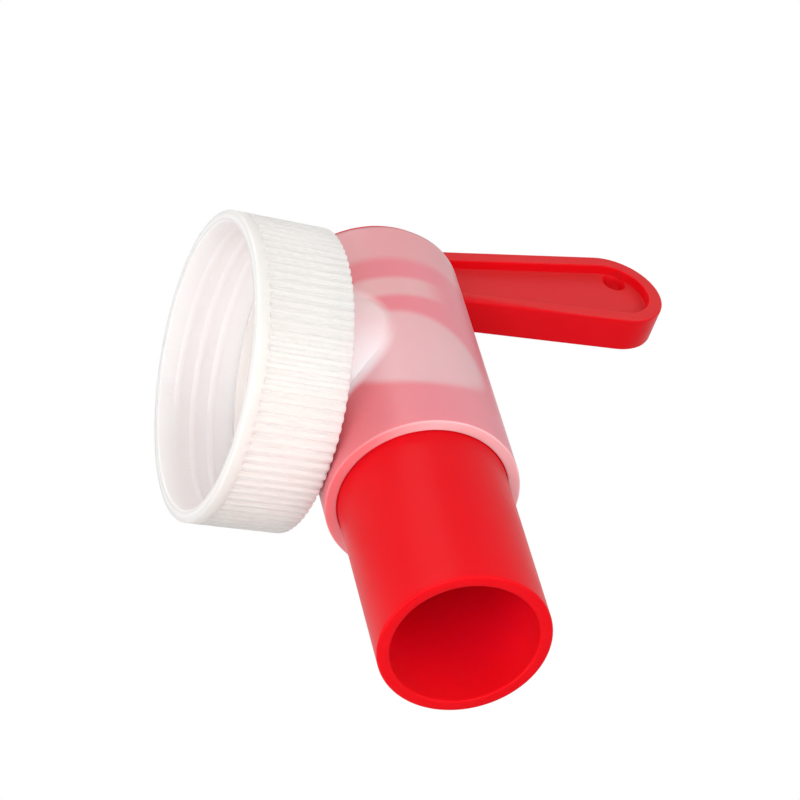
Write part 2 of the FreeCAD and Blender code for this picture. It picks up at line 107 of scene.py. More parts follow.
class TapSizes(bpy.types.PropertyGroup):
    cap_end_wall: length_size("Cap end wall", "Thickness of the cap's end wall", 2.2 * MM)
    cap_taper: length_size("Cap taper", "Radius that the skirt loses along its depth", 0.6 * MM)
    cap_lip: length_size("Cap lip", "Plain band before the grip grooves", 2.8 * MM)
    cap_lip_round: length_size("Lip rounding", "Rounding of the lip's outer edge", 0.7 * MM)
    cap_seat_step: length_size("Seat step", "How much smaller the washer's seat is", 0.7 * MM)
    neck_hole: length_size("Neck hole", "Radius of the hole for the neck", 21.0 * MM)
    groove_count: bpy.props.IntProperty(
        name="Grip grooves", description="Number of grooves round the skirt", default=90, min=3)
    groove_depth: length_size("Groove depth", "Depth of a groove where it starts", 1.1 * MM)
    thread_start: length_size("Thread start", "Depth of the thread's first end", 4.0 * MM)
    thread_pitch: length_size("Thread pitch", "Rise of the cap's thread per turn", 4.2 * MM)
    thread_height: length_size("Thread height", "Height of the thread's ridge", 0.28 * MM)
    thread_turns: bpy.props.FloatProperty(
        name="Thread turns", description="Length of the thread in turns", default=2.4, min=0.5)
    washer_round: length_size("Washer rounding", "Rounding of the washer's edges", 0.5 * MM)
    neck_bore: length_size("Neck bore", "Radius of the way through the neck", 18.2 * MM)
    neck_radius: length_size("Neck radius", "Outer radius of the neck", 20.7 * MM)
    collar_thickness: length_size("Collar", "Thickness of the collar", 2.3 * MM)
    housing_wall: length_size("Housing wall", "Wall of the housing", 2.54 * MM)
    inlet_radius: length_size("Inlet radius", "Radius of the inlet in the housing", 11.5 * MM)
    inlet_drop: length_size("Inlet drop", "Inlet and port under the cap's axis", 5.0 * MM)
    port_radius: length_size("Port radius", "Radius of the plug's window", 14.0 * MM)
    spout_wall: length_size("Spout wall", "Wall of the plug and the spout", 2.8 * MM)
    land_rise: length_size("Land rise", "Sealing lands beyond the spout", 0.2 * MM)
    relief_depth: length_size("Relief depth", "Step between the sealing lands", 0.8 * MM)
    head_thickness: length_size("Head thickness", "Thickness of the plug's head", 2.0 * MM)
    head_round: length_size("Head rounding", "Rounding of the head's upper edge", 1.5 * MM)
    head_gap: length_size("Head gap", "Gap between the head and the housing", 0.2 * MM)
    edge_round: length_size("Edge rounding", "Rounding of a moulded edge", 0.4 * MM)
    lever_thickness: length_size("Lever thickness", "Across the rim", 8.8 * MM)
    lever_web: length_size("Lever web", "Thickness inside the rim", 3.8 * MM)
    lever_rim: length_size("Lever rim", "Width of the rim round the web", 3.4 * MM)
    lever_tip_radius: length_size("Lever tip radius", "Round end of the lever", 12.4 * MM)
    lever_root_reach: length_size("Lever root", "Root behind the plug's axis", 12.0 * MM)
    lever_root_height: length_size("Lever root height", "Above the head's underside", 12.2 * MM)
    lever_root_slope: length_size("Lever root slope", "Foot behind the root's top", 5.0 * MM)
    lever_heel_inset: length_size("Lever heel", "Lower edge inside the head's rim", 1.0 * MM)
    lever_recess_start: length_size("Recess start", "Recess from the plug's axis", 8.0 * MM)
    hang_hole_radius: length_size("Hanging hole", "Radius of the hole in the tip", 2.4 * MM)
    hang_hole_flare: length_size("Hole's flare", "Wider at the web's faces by this", 0.55 * MM)


class TapColours(bpy.types.PropertyGroup):
    cap: colour_value("Cap", "White plastic of the cap", (0.79, 0.76, 0.72))
    # Painted light in the cap's grooves and near its mouth
    cap_painted_light: colour_value("Cap hollows", "Light held in the grooves and the mouth", (0.93, 0.905, 0.875))
    # Painted warm reflection deeper in the cap's bore
    cap_painted_reflection: colour_value("Cap inside", "Warm reflection in the bore", (1.0, 0.89, 0.88))
    washer: colour_value("Washer", "Sealing washer", (0.80, 0.78, 0.75))
    body_contact: colour_value("Body on the plug", "Where the plug touches", (0.78, 0.21, 0.257))
    # Painted shade of the cap over the plug's red, on the inlet side
    body_contact_painted_shade: colour_value("Body at the inlet", "Where the plug is pressed on", (0.74, 0.145, 0.17))
    body_relief: colour_value("Body over the relief", "Where the plug stands off", (0.76, 0.325, 0.345))
    body_step: colour_value("Body over the step", "Between the two lands", (0.76, 0.39, 0.40))
    body_port: colour_value("Body over the port", "Where the port opens", (0.765, 0.42, 0.445))
    body_neck: colour_value("Body neck", "Hollow neck and collar", (0.93, 0.68, 0.69))
    # Painted light on the neck's lower side
    body_neck_painted_light: colour_value("Under the neck", "Lower side of the neck", (1.0, 0.92, 0.94))
    body_rim: colour_value("Body rim", "Lower end of the housing", (0.92, 0.50, 0.52))
    # Painted shade of the cap on the lower end's inlet side
    body_rim_painted_shade: colour_value(
        "Body rim at the inlet", "Lower end where the plug is pressed on", (0.82, 0.20, 0.22))
    # Painted shade on the housing's upper end, in the gap under the head
    body_lip_painted_shade: colour_value("Body lip", "Upper end of the housing", (0.50, 0.22, 0.24))
    plug: colour_value("Plug", "Red plastic of the plug", (0.77, 0.006, 0.012))
    # Painted sheen on the lever's flat sides
    lever_sides_painted_sheen: colour_value("Lever sides", "Flat sides worn by the hand", (0.69, 0.028, 0.032))
    # Painted light deep in the plug's bore
    plug_bore_painted_light: colour_value("Plug bore", "Deep in the plug's bore", (1.0, 0.003, 0.03))
    plug_dark: colour_value("Plug shade", "Deeper flow marks in the red", (0.70, 0.003, 0.008))


# Outlines


def on_circle(centre, angle, radius):
    return centre + Vector((math.cos(angle), math.sin(angle))) * radius


def spaced(first, last, steps):
    """Evenly spaced points from the first up to the last, which is left out."""
    return [first.lerp(last, step / steps) for step in range(steps)]


def touch_angle(start, centre, radius, side):
    """Angle at which a line from a point touches a circle, on one side of it."""
    away = start - centre
    return math.atan2(away.y, away.x) - side * math.acos(radius / away.length)


def rounded(corners):
    """Points of an outline with an arc at each corner that gives a radius after its place."""
    points = []
    for index, (along, out, *rounding) in enumerate(corners):
        here = Vector((along, out))
        if not rounding:
            points.append(here)
            continue
        radius = rounding[0]
        back = (Vector(corners[index - 1][:2]) - here).normalized()
        forward = (Vector(corners[(index + 1) % len(corners)][:2]) - here).normalized()
        half = back.angle(forward) / 2
        centre = here + (back + forward).normalized() * (radius / math.sin(half))
        reach = radius / math.tan(half)
        first = here + back * reach - centre
        last = here + forward * reach - centre
        start = math.atan2(first.y, first.x)
        turn = math.atan2(last.y, last.x) - start
        turn = (turn + math.pi) % FULL_TURN - math.pi
        for step in range(ARC_STEPS + 1):
            points.append(on_circle(centre, start + turn * step / ARC_STEPS, radius))
    return points


def divided(outline):
    """The outline with points added so that no stretch off the axis is long."""
    points = []
    for here, there in zip(outline, outline[1:] + outline[:1]):
        first, last = Vector(here[:2]), Vector(there[:2])
        off_axis = first.y or last.y
        parts = math.ceil((last - first).length / LONGEST_STRETCH) if off_axis else 1
        points += spaced(first, last, parts)
    return points


def bead_section(wall, height, top, foot):
    """Points of the snap bead or its groove on a wall of this radius."""
    return [
        (BEAD_PLACE - foot, wall),
        (BEAD_PLACE - top, wall + height),
        (BEAD_PLACE + top, wall + height),
        (BEAD_PLACE + foot, wall),
    ]


def head_bottom(sizes):
    """Height of the plug's head over the housing's upper end."""
    return BODY_HIGH.z + sizes.head_gap


def smooth_share(value, low, high):
    share = min(1.0, max(0.0, (value - low) / (high - low)))
    return share * share * (3 - 2 * share)


# Meshes


def new_piece(name, maker):
    mesh = bpy.data.meshes.new(name)
    maker.to_mesh(mesh)
    maker.free()
    piece = bpy.data.objects.new(name, mesh)
    bpy.context.scene.collection.objects.link(piece)
    return piece


def new_solid(name, maker):
    """A new piece from a closed mesh, with its faces turned outwards."""
    bmesh.ops.recalc_face_normals(maker, faces=maker.faces)
    return new_piece(name, maker)


def weld(maker):
    """Closes the tiny edges that an outline, a joint or a cut leaves."""
    bmesh.ops.remove_doubles(maker, verts=maker.verts, dist=SLIVER)
    bmesh.ops.dissolve_degenerate(maker, edges=maker.edges, dist=SLIVER)


def bridge(maker, first, second):
    """Faces between two rings with as many points each."""
    for here in range(len(first)):
        there = (here + 1) % len(first)
        maker.faces.new((first[here], first[there], second[there], second[here]))


def turned(name, outline, centre, axis, angles=None, part=None, shape=None):
    """A closed solid from an outline of (along, out) points turned round an axis.

    part gives the first and last angle of a piece of a turn, and shape can change a point's
    distance from the axis by its place and angle.
    """
    along, first_out, second_out = AXES[axis]
    if part:
        first, last = part
        steps = max(2, round(ROUND_STEPS * (last - first) / FULL_TURN))
        angles = [first + (last - first) * step / steps for step in range(steps + 1)]
    elif not angles:
        angles = [FULL_TURN * step / ROUND_STEPS for step in range(ROUND_STEPS)]
    maker = bmesh.new()
    rings = []
    for angle in angles:
        outwards = first_out * math.cos(angle) + second_out * math.sin(angle)
        ring = []
        for place, out in outline:
            radius = shape(place, out, angle) if shape else out
            ring.append(maker.verts.new(centre + along * place + outwards * radius))
        rings.append(ring)
    followers = rings[1:] if part else rings[1:] + rings[:1]
    for ring, follower in zip(rings, followers):
        for here, (_, out) in enumerate(outline):
            there = (here + 1) % len(outline)
            if out or outline[there][1]:
                maker.faces.new((ring[here], ring[there], follower[there], follower[here]))
    if part:
        maker.faces.new(rings[0])
        maker.faces.new(rings[-1])
    weld(maker)
    return new_solid(name, maker)


def rod(name, centre, axis, start, end, radius):
    return turned(name, [(start, 0), (start, radius), (end, radius), (end, 0)], centre, axis)


def bake_modifiers(piece):
    """Turns a piece's modifiers into its mesh."""
    graph = bpy.context.evaluated_depsgraph_get()
    mesh = bpy.data.meshes.new_from_object(piece.evaluated_get(graph))
    piece.modifiers.clear()
    old = piece.data
    piece.data = mesh
    bpy.data.meshes.remove(old)
    mesh.name = piece.name


def combine(piece, other, operation):
    """Joins another form to a piece, or cuts it out of it."""
    modifier = piece.modifiers.new("combine", "BOOLEAN")
    modifier.operation = operation
    modifier.solver = "MANIFOLD"
    modifier.object = other
    bake_modifiers(piece)
    bpy.data.objects.remove(other)
    maker = bmesh.new()
    maker.from_mesh(piece.data)
    weld(maker)
    maker.to_mesh(piece.data)
    maker.free()
    if not piece.data.polygons:
        raise RuntimeError(f"{piece.name} is empty after {operation}")


def dress(piece, body, node, material):
    """Finishes a piece's surface and sets it on its body in place of a node."""
    piece.data.materials.clear()
    piece.data.materials.append(material)
    for face in piece.data.polygons:
        face.use_smooth = True
    piece.data.set_sharp_from_angle(angle=SHARP_ANGLE)
    normals = piece.modifiers.new("even shading", "WEIGHTED_NORMAL")
    normals.keep_sharp = True
    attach(piece, body)
    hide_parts(node)


# Parts of a finish


def new_finish(name, roughness):
    """A new material with its node tree and its shader."""
    material = bpy.data.materials.new(name)
    material.use_nodes = True
    tree = material.node_tree
    shader = tree.nodes["Principled BSDF"]
    shader.inputs["Roughness"].default_value = roughness
    return material, tree, shader


def place_on(tree, piece=None):
    """Place in the own frame of the piece, or of another piece, in metres."""
    place = tree.nodes.new("ShaderNodeTexCoord")
    if piece:
        place.object = piece
    return place.outputs["Object"]


def parts_of(tree, vector):
    """The parts of a place or direction along X, Y and Z."""
    split = tree.nodes.new("ShaderNodeSeparateXYZ")
    tree.links.new(vector, split.inputs[0])
    return split.outputs["X"], split.outputs["Y"], split.outputs["Z"]


def calculate(tree, operation, first, second=None):
    """Result of an operation on sockets or plain numbers."""
    node = tree.nodes.new("ShaderNodeMath")
    node.operation = operation
    for socket, value in zip(node.inputs, (first, second)):
        if isinstance(value, (int, float)):
            socket.default_value = value
        elif value is not None:
            tree.links.new(value, socket)
    return node.outputs[0]


def rise(tree, value, low, high):
    """Rises softly from 0 at low to 1 at high."""
    node = tree.nodes.new("ShaderNodeMapRange")
    node.interpolation_type = "SMOOTHSTEP"
    node.inputs["From Min"].default_value = low
    node.inputs["From Max"].default_value = high
    tree.links.new(value, node.inputs["Value"])
    return node.outputs["Result"]


def fall(tree, value, low, high):
    """Falls softly from 1 at low to 0 at high."""
    return calculate(tree, "SUBTRACT", 1.0, rise(tree, value, low, high))


def band(tree, value, low, high, soft):
    """1 between low and high with soft edges, 0 elsewhere."""
    lower_edge = rise(tree, value, low - soft, low + soft)
    upper_edge = fall(tree, value, high - soft, high + soft)
    return calculate(tree, "MULTIPLY", lower_edge, upper_edge)


def diagonal(tree, first, second):
    """Distance that two parts at right angles add up to."""
    squares = [calculate(tree, "MULTIPLY", part, part) for part in (first, second)]
    return calculate(tree, "SQRT", calculate(tree, "ADD", *squares))


def oval(tree, turn, half_turn, upwards, half_height, edge):
    """1 inside an oval on a round wall, 0 outside it, with a soft edge."""
    across = calculate(tree, "DIVIDE", turn, half_turn)
    upright = calculate(tree, "DIVIDE", upwards, half_height)
    return fall(tree, diagonal(tree, across, upright), *edge)


def mix_colours(tree, share, first, second):
    """The first colour where the share is 0 and the second where it is 1."""
    node = tree.nodes.new("ShaderNodeMix")
    node.data_type = "RGBA"
    for name, value in (("Factor", share), ("A", first), ("B", second)):
        socket = next(s for s in node.inputs if s.name == name and s.enabled)
        if isinstance(value, bpy.types.NodeSocket):
            tree.links.new(value, socket)
        else:
            socket.default_value = (*value, 1.0) if name != "Factor" else value
    return next(s for s in node.outputs if s.enabled)


def cloud(tree, place, scale, stretch=None):
    """Soft noise with lumps of about one part in scale of a metre."""
    noise = tree.nodes.new("ShaderNodeTexNoise")
    noise.inputs["Scale"].default_value = scale
    noise.inputs["Detail"].default_value = 3.0
    if stretch:
        mapping = tree.nodes.new("ShaderNodeMapping")
        mapping.inputs["Scale"].default_value = stretch
        tree.links.new(place, mapping.inputs["Vector"])
        place = mapping.outputs["Vector"]
    tree.links.new(place, noise.inputs["Vector"])
    return noise.outputs["Fac"]


def colour_step(tree, value, edge, below, above):
    """One colour below a soft edge and another above it."""
    return mix_colours(tree, rise(tree, value, *edge), below, above)


def vary_colour(tree, shader, place, colour, scale, depth):
    """Base colour with slightly darker clouds in it."""
    darker = mix_colours(tree, depth, colour, (0.0, 0.0, 0.0))
    clouded = mix_colours(tree, cloud(tree, place, scale), colour, darker)
    tree.links.new(clouded, shader.inputs["Base Color"])


def vary_roughness(tree, shader, place, scale, low, high):
    node = tree.nodes.new("ShaderNodeMapRange")
    node.inputs["To Min"].default_value = low
    node.inputs["To Max"].default_value = high
    tree.links.new(cloud(tree, place, scale), node.inputs["Value"])
    tree.links.new(node.outputs["Result"], shader.inputs["Roughness"])


def add_grain(tree, shader, place, scale, height, strength):
    """Fine unevenness of a moulded surface."""
    bump = tree.nodes.new("ShaderNodeBump")
    bump.inputs["Strength"].default_value = strength
    bump.inputs["Distance"].default_value = height
    tree.links.new(cloud(tree, place, scale), bump.inputs["Height"])
    tree.links.new(bump.outputs["Normal"], shader.inputs["Normal"])


def scatter_light(shader, weight, radius, scale):
    """Lets light into the plastic and out again beside the spot."""
    shader.inputs["Subsurface Weight"].default_value = weight
    shader.inputs["Subsurface Radius"].default_value = radius
    shader.inputs["Subsurface Scale"].default_value = scale


# Finishes of the cap and the washer. Each pair of places is where a soft edge starts and ends.

CAP_INSIDE_END = (CAP_BORE, CAP_BORE + 0.8 * MM)
CAP_OUTSIDE_START = (CAP_BORE + 0.8 * MM, CAP_BORE + 1.0 * MM)
# Depths at which the painted light near the mouth turns into the painted warm reflection
CAP_LIGHT_TO_REFLECTION = (2 * MM, 11 * MM)  # from the mouth inwards
# Radii over which the painted light in the grooves fades out towards a rib's face
GROOVE_TO_RIB = (CAP_HIGH.z - 1.5 * MM, CAP_HIGH.z - 0.5 * MM)


def cap_plastic(colours):
    """White polyethylene, satin, with painted light in the grooves and near the mouth, and a painted warm
    reflection deeper in the bore.
    """
    material, tree, shader = new_finish("cap_white_plastic", roughness=0.42)
    place = place_on(tree)
    along, *off_axis = parts_of(tree, place)
    out = diagonal(tree, *off_axis)
    # Painted light near the mouth and a painted warm reflection deeper in the bore
    bore = colour_step(tree, along, CAP_LIGHT_TO_REFLECTION, colours.cap_painted_light, colours.cap_painted_reflection)
    colour = mix_colours(tree, fall(tree, out, *CAP_INSIDE_END), colours.cap, bore)
    # Painted light in the grooves, over their shade
    outside = rise(tree, out, *CAP_OUTSIDE_START)
    groove = calculate(tree, "MULTIPLY", outside, fall(tree, out, *GROOVE_TO_RIB))
    colour = mix_colours(tree, groove, colour, colours.cap_painted_light)
    vary_colour(tree, shader, place, colour, scale=60.0, depth=0.03)
    scatter_light(shader, weight=1.0, radius=(1.0, 0.92, 0.9), scale=7.0 * MM)
    vary_roughness(tree, shader, place, scale=180.0, low=0.36, high=0.5)
    add_grain(tree, shader, place, scale=1400.0, height=0.03 * MM, strength=0.08)
    return material


def washer_foam(colours):
    """Soft sealing ring, matt, with a fine closed-cell grain."""
    material, tree, shader = new_finish("washer_soft_foam", roughness=0.8)
    place = place_on(tree)
    vary_colour(tree, shader, place, colours.washer, scale=90.0, depth=0.06)
    vary_roughness(tree, shader, place, scale=500.0, low=0.7, high=0.9)
    add_grain(tree, shader, place, scale=2600.0, height=0.12 * MM, strength=0.5)
    return material


# Finish of the body. The plug shows through its wall a little lower than it is, as seen from
# below. Sideways places are along X from the plug's axis, with the inlet at the negative end.

# Painted shade of the cap, darkest on the inlet side and gone past the middle
PAINTED_SHADE_SIDE = (-0.88 * HOUSING_RADIUS, 0.1 * HOUSING_RADIUS)
UPPER_RELIEF = (20.5 * MM, 24.0 * MM)
LOWER_RELIEF = (8.6 * MM, 15.2 * MM)  # height of its lower and upper edge
LOWER_RELIEF_SOFT = 1.2 * MM
# The pale band over the step fades out towards the lever's side, as painted shade of the housing's edge
LOWER_RELIEF_PAINTED_SHADE_SIDE = (0.04 * HOUSING_RADIUS, 0.44 * HOUSING_RADIUS)

PORT_SHIFT = math.radians(13)  # its middle from -Y towards the inlet
PORT_HALF_ANGLE = math.radians(50)
PORT_HEIGHT = -10.1 * MM
PORT_SLOPE = -2.9 * MM  # rise per radian towards the lever's side
PORT_HALF_HEIGHT = 13.0 * MM
PORT_EDGE = (0.86, 1.1)  # in half sizes of the oval

# Painted shade on the upper end, under the head
LIP_PAINTED_SHADE = (BODY_HIGH.z - 1.0 * MM, BODY_HIGH.z - 0.2 * MM)
RIM_EDGE = (BODY_LOW.z + 0.05 * MM, BODY_LOW.z + 0.5 * MM)
# Painted shade of the cap on the lower end, darkest on the inlet side
RIM_PAINTED_SHADE_SIDE = (-0.94 * HOUSING_RADIUS, -0.14 * HOUSING_RADIUS)

NECK_START = (HOUSING_RADIUS - 0.2 * MM, HOUSING_RADIUS + 1.0 * MM)
NECK_PATCH_ANGLE = math.radians(72)  # half the pale patch round the neck's root
NECK_PATCH_HEIGHT = -0.5 * MM
NECK_PATCH_HALF_HEIGHT = 22.0 * MM
NECK_PATCH_EDGE = (0.88, 1.04)  # in half sizes of the oval
# Heights over which the painted light under the neck fades out
NECK_PAINTED_LIGHT_FADE = (-16 * MM, 1 * MM)
CAP_SHADE = (CAP_HIGH.x - 1.0 * MM, CAP_HIGH.x)


def plug_behind_wall(tree, colours, turned_place):
    """Colours of the plug's lands, reliefs and port as they show on the housing's outside, and painted
    shade.
    """
    along, ahead, height = parts_of(tree, turned_place)
    aside = calculate(tree, "SUBTRACT", along, PLUG_AXIS.x)
    # Painted shade of the cap darkens the plug's red towards the inlet
    colour = colour_step(tree, aside, PAINTED_SHADE_SIDE, colours.body_contact_painted_shade, colours.body_contact)
    colour = colour_step(tree, height, UPPER_RELIEF, colour, colours.body_relief)
    lower_relief = band(tree, height, *LOWER_RELIEF, LOWER_RELIEF_SOFT)
    # The step's pale band, with painted shade towards the lever's side
    lower_relief = calculate(
        tree, "MULTIPLY", lower_relief, fall(tree, aside, *LOWER_RELIEF_PAINTED_SHADE_SIDE))
    colour = mix_colours(tree, lower_relief, colour, colours.body_step)

    round_wall = calculate(tree, "ARCTAN2", aside, calculate(tree, "MULTIPLY", ahead, -1.0))
    from_middle = calculate(tree, "ADD", round_wall, PORT_SHIFT)
    middle = calculate(
        tree, "ADD", calculate(tree, "MULTIPLY", from_middle, PORT_SLOPE), PORT_HEIGHT)
    above_middle = calculate(tree, "SUBTRACT", height, middle)
    port = oval(tree, from_middle, PORT_HALF_ANGLE, above_middle, PORT_HALF_HEIGHT, PORT_EDGE)
    colour = mix_colours(tree, port, colour, colours.body_port)

    # Painted shade on the upper end, under the head
    colour = colour_step(tree, height, LIP_PAINTED_SHADE, colour, colours.body_lip_painted_shade)
    # The lower end with painted shade of the cap towards the inlet
    rim = colour_step(tree, aside, RIM_PAINTED_SHADE_SIDE, colours.body_rim_painted_shade, colours.body_rim)
    return colour_step(tree, height, RIM_EDGE, rim, colour)


def add_neck(tree, colours, colour, place):
    """The colour with the pale neck and the patch round its root added, and painted light on the neck's
    lower side.
    """
    along, ahead, height = parts_of(tree, place)
    aside = calculate(tree, "SUBTRACT", along, PLUG_AXIS.x)
    neck = rise(tree, diagonal(tree, aside, ahead), *NECK_START)
    from_neck = calculate(tree, "ARCTAN2", calculate(tree, "ABSOLUTE", ahead),
                          calculate(tree, "MULTIPLY", aside, -1.0))
    above_middle = calculate(tree, "SUBTRACT", height, NECK_PATCH_HEIGHT)
    patch = oval(tree, from_neck, NECK_PATCH_ANGLE, above_middle, NECK_PATCH_HALF_HEIGHT,
                 NECK_PATCH_EDGE)
    # Painted light under the neck, left out above it and inside the cap
    beyond_painted_light = calculate(tree, "MAXIMUM", rise(tree, height, *NECK_PAINTED_LIGHT_FADE),
                       fall(tree, along, *CAP_SHADE))
    neck_colour = mix_colours(tree, beyond_painted_light, colours.body_neck_painted_light, colours.body_neck)
    return mix_colours(tree, calculate(tree, "MAXIMUM", neck, patch), colour, neck_colour)


def body_plastic(colours, plug):
    """Milky polyethylene that shows the plug behind its wall: red where the plug touches it.

    The pattern turns with the plug.
    """
    material, tree, shader = new_finish("body_milky_plastic", roughness=0.4)
    place = place_on(tree)
    colour = plug_behind_wall(tree, colours, place_on(tree, plug))
    colour = add_neck(tree, colours, colour, place)
    vary_colour(tree, shader, place, colour, scale=70.0, depth=0.05)
    shader.inputs["Specular IOR Level"].default_value = 0.3
    scatter_light(shader, weight=0.6, radius=(1.0, 0.6, 0.6), scale=2.5 * MM)
    vary_roughness(tree, shader, place, scale=150.0, low=0.34, high=0.46)
    add_grain(tree, shader, place, scale=900.0, height=0.05 * MM, strength=0.2)
    return material


# Finish of the plug

LEVER_SIDE_FACING = (0.75, 0.95)  # how squarely a face looks along Y
ABOVE_HEAD = (BODY_HIGH.z + 2.0 * MM, BODY_HIGH.z + 3.0 * MM)
# Where the painted light deep in the bore goes
BORE_WALL = (SPOUT_RADIUS - 2.7 * MM, SPOUT_RADIUS - 2.2 * MM)
BORE_DEPTH = (PLUG_LOW.z, PLUG_LOW.z + 32 * MM)
HEAD_UNDERSIDE = (BODY_HIGH.z + 0.5 * MM, BODY_HIGH.z + 1.0 * MM)


def lever_sides_painted_sheen(tree, height):
    """1 on the lever's flat sides, where the painted sheen goes, 0 elsewhere."""
    normal = tree.nodes.new("ShaderNodeTexCoord").outputs["Normal"]
    _, sideways, _ = parts_of(tree, normal)
    flat = rise(tree, calculate(tree, "ABSOLUTE", sideways), *LEVER_SIDE_FACING)
    return calculate(tree, "MULTIPLY", flat, rise(tree, height, *ABOVE_HEAD))


def painted_light_in_bore(tree, along, ahead, height):
    """Rises from 0 at the spout's mouth to 1 deep in the bore, and is 0 outside it: the share of painted
    light.
    """
    aside = calculate(tree, "SUBTRACT", along, PLUG_AXIS.x)
    bore = fall(tree, diagonal(tree, aside, ahead), *BORE_WALL)
    bore = calculate(tree, "MULTIPLY", bore, rise(tree, height, *BORE_DEPTH))
    return calculate(tree, "MULTIPLY", bore, fall(tree, height, *HEAD_UNDERSIDE))


def plug_plastic(colours):
    """Opaque red plastic, half glossy, with faint flow marks, painted sheen on the lever's sides and painted
    light deep in the bore.
    """
    material, tree, shader = new_finish("plug_red_plastic", roughness=0.36)
    place = place_on(tree)
    along, ahead, height = parts_of(tree, place)
    flow = cloud(tree, place, scale=45.0, stretch=(1.0, 1.0, 0.35))
    colour = mix_colours(tree, flow, colours.plug, colours.plug_dark)
    # Painted sheen on the lever's flat sides
    colour = mix_colours(tree, lever_sides_painted_sheen(tree, height), colour, colours.lever_sides_painted_sheen)
    bore = painted_light_in_bore(tree, along, ahead, height)
    # Painted light deep in the bore
    colour = mix_colours(tree, bore, colour, colours.plug_bore_painted_light)
    tree.links.new(colour, shader.inputs["Base Color"])
    shader.inputs["Specular IOR Level"].default_value = 0.06
    scatter_light(shader, weight=0.6, radius=(1.0, 0.1, 0.1), scale=4.0 * MM)
    vary_roughness(tree, shader, place, scale=160.0, low=0.3, high=0.42)
    add_grain(tree, shader, place, scale=1100.0, height=0.05 * MM, strength=0.25)
    return material


# Cap

CAP_END_ROUND = 0.6 * MM  # between the skirt and the end wall
CAP_END_BAND = 1.0 * MM  # from the skirt's last points to the end wall's face
SKIRT_SKIN = 1.0 * MM  # points further in aren't on the skirt's outside
QUARTERS = (0.25, 0.5, 0.75, 1.0)

GROOVE_RUN_IN = 0.7 * MM  # pointed start of a groove
GROOVE_FLOOR = 0.15  # half its floor, as a share of the pitch
GROOVE_MOUTH = 0.33  # half its mouth, as a share of the pitch
GROOVE_SIDE_STEPS = 3  # steps up its side

THREAD_STEPS = 96  # steps along a turn
THREAD_FACETS = 8  # facets across the ridge
THREAD_HALF_WIDTH = 1.3 * MM
THREAD_SUNK = 0.25 * MM  # foot of the ridge inside the wall
THREAD_RUN_OUT = 1 / 8  # part of a turn in which an end fades into the wall


class TAP_OT_screw_cap(bpy.types.Operator):
    """Screw cap with its grip grooves"""

    bl_idname = "tap.screw_cap"
    bl_label = "Screw cap"

    def execute(self, context):
        sizes = context.scene.tap_sizes
        depth, lip, start = CAP_HIGH.x, CAP_HIGH.z, sizes.cap_lip
        far = lip - sizes.cap_taper
        slope = sizes.cap_taper / depth
        seat = CAP_BORE - sizes.cap_seat_step
        end_inside = depth - sizes.cap_end_wall
        edge = sizes.edge_round
        outline = rounded([
            (0, CAP_BORE, edge),
            (0, lip, sizes.cap_lip_round),
            *[(along, lip - slope * along) for along in self.skirt_places(start, depth)],
            (depth, far, CAP_END_ROUND),
            (depth, sizes.neck_hole, edge / 2),
            (end_inside, sizes.neck_hole, edge / 2),
            (end_inside, seat),
            (WASHER_LOW.x, seat, edge / 2),
            (WASHER_LOW.x, CAP_BORE),
        ])

        def grooved(along, out, angle):
            if along <= start or out < far - SKIRT_SKIN:
                return out
            phase = (angle * sizes.groove_count / FULL_TURN + 0.5) % 1 - 0.5
            across = 1 - smooth_share(abs(phase), GROOVE_FLOOR, GROOVE_MOUTH)
            run = smooth_share(along, start, start + GROOVE_RUN_IN)
            return out - (sizes.groove_depth - slope * along) * across * run

        angles = self.groove_angles(sizes.groove_count)
        piece = turned("screw_cap_moulding", outline, CAP_AXIS, "X", angles, shape=grooved)
        combine(piece, self.thread(sizes), "UNION")
        finish = cap_plastic(context.scene.tap_colours)
        dress(piece, "cap", "screw_cap", finish)
        return {"FINISHED"}

    @staticmethod
    def skirt_places(start, depth):
        """Places of the skirt's points, closest where the grooves begin."""
        grooves = start + GROOVE_RUN_IN
        rest = depth - start - GROOVE_RUN_IN - CAP_END_BAND
        places = [start, *[start + GROOVE_RUN_IN * share for share in QUARTERS]]
        return places + [grooves + rest * share for share in QUARTERS]

    @staticmethod
    def groove_angles(count):
        """Angles of each rib's middle and of each groove's mouth, sides, floor and middle."""
        side = [GROOVE_FLOOR + (GROOVE_MOUTH - GROOVE_FLOOR) * step / GROOVE_SIDE_STEPS
                for step in range(GROOVE_SIDE_STEPS + 1)]
        phases = (-0.5, *[-share for share in reversed(side)], 0.0, *side)
        return [FULL_TURN * (groove + phase) / count
                for groove in range(count) for phase in phases]

    @staticmethod
    def thread(sizes):
        """Low round ridge that winds along the bore, with ends that run out into the wall."""
        steps = round(sizes.thread_turns * THREAD_STEPS)
        maker = bmesh.new()
        rings = []
        for step in range(steps + 1):
            angle = FULL_TURN * step / THREAD_STEPS
            outwards = Vector((0, math.cos(angle), math.sin(angle)))
            middle = sizes.thread_start + sizes.thread_pitch * step / THREAD_STEPS
            run_out = smooth_share(min(step, steps - step), 0, THREAD_STEPS * THREAD_RUN_OUT)
            height = sizes.thread_height * run_out + THREAD_SUNK
            ring = []
            for facet in range(THREAD_FACETS + 1):
                turn = math.pi * facet / THREAD_FACETS
                radius = CAP_BORE + THREAD_SUNK - height * math.sin(turn) ** 2
                along = Vector((middle - THREAD_HALF_WIDTH * math.cos(turn), 0, 0))
                ring.append(maker.verts.new(along + outwards * radius))
            rings.append(ring)
        for ring, follower in zip(rings, rings[1:]):
            bridge(maker, ring, follower)
        maker.faces.new(rings[0])
        maker.faces.new(rings[-1])
        return new_solid("thread", maker)


# Washer

WASHER_GAP = 0.3 * MM  # between the collar and the washer's inside


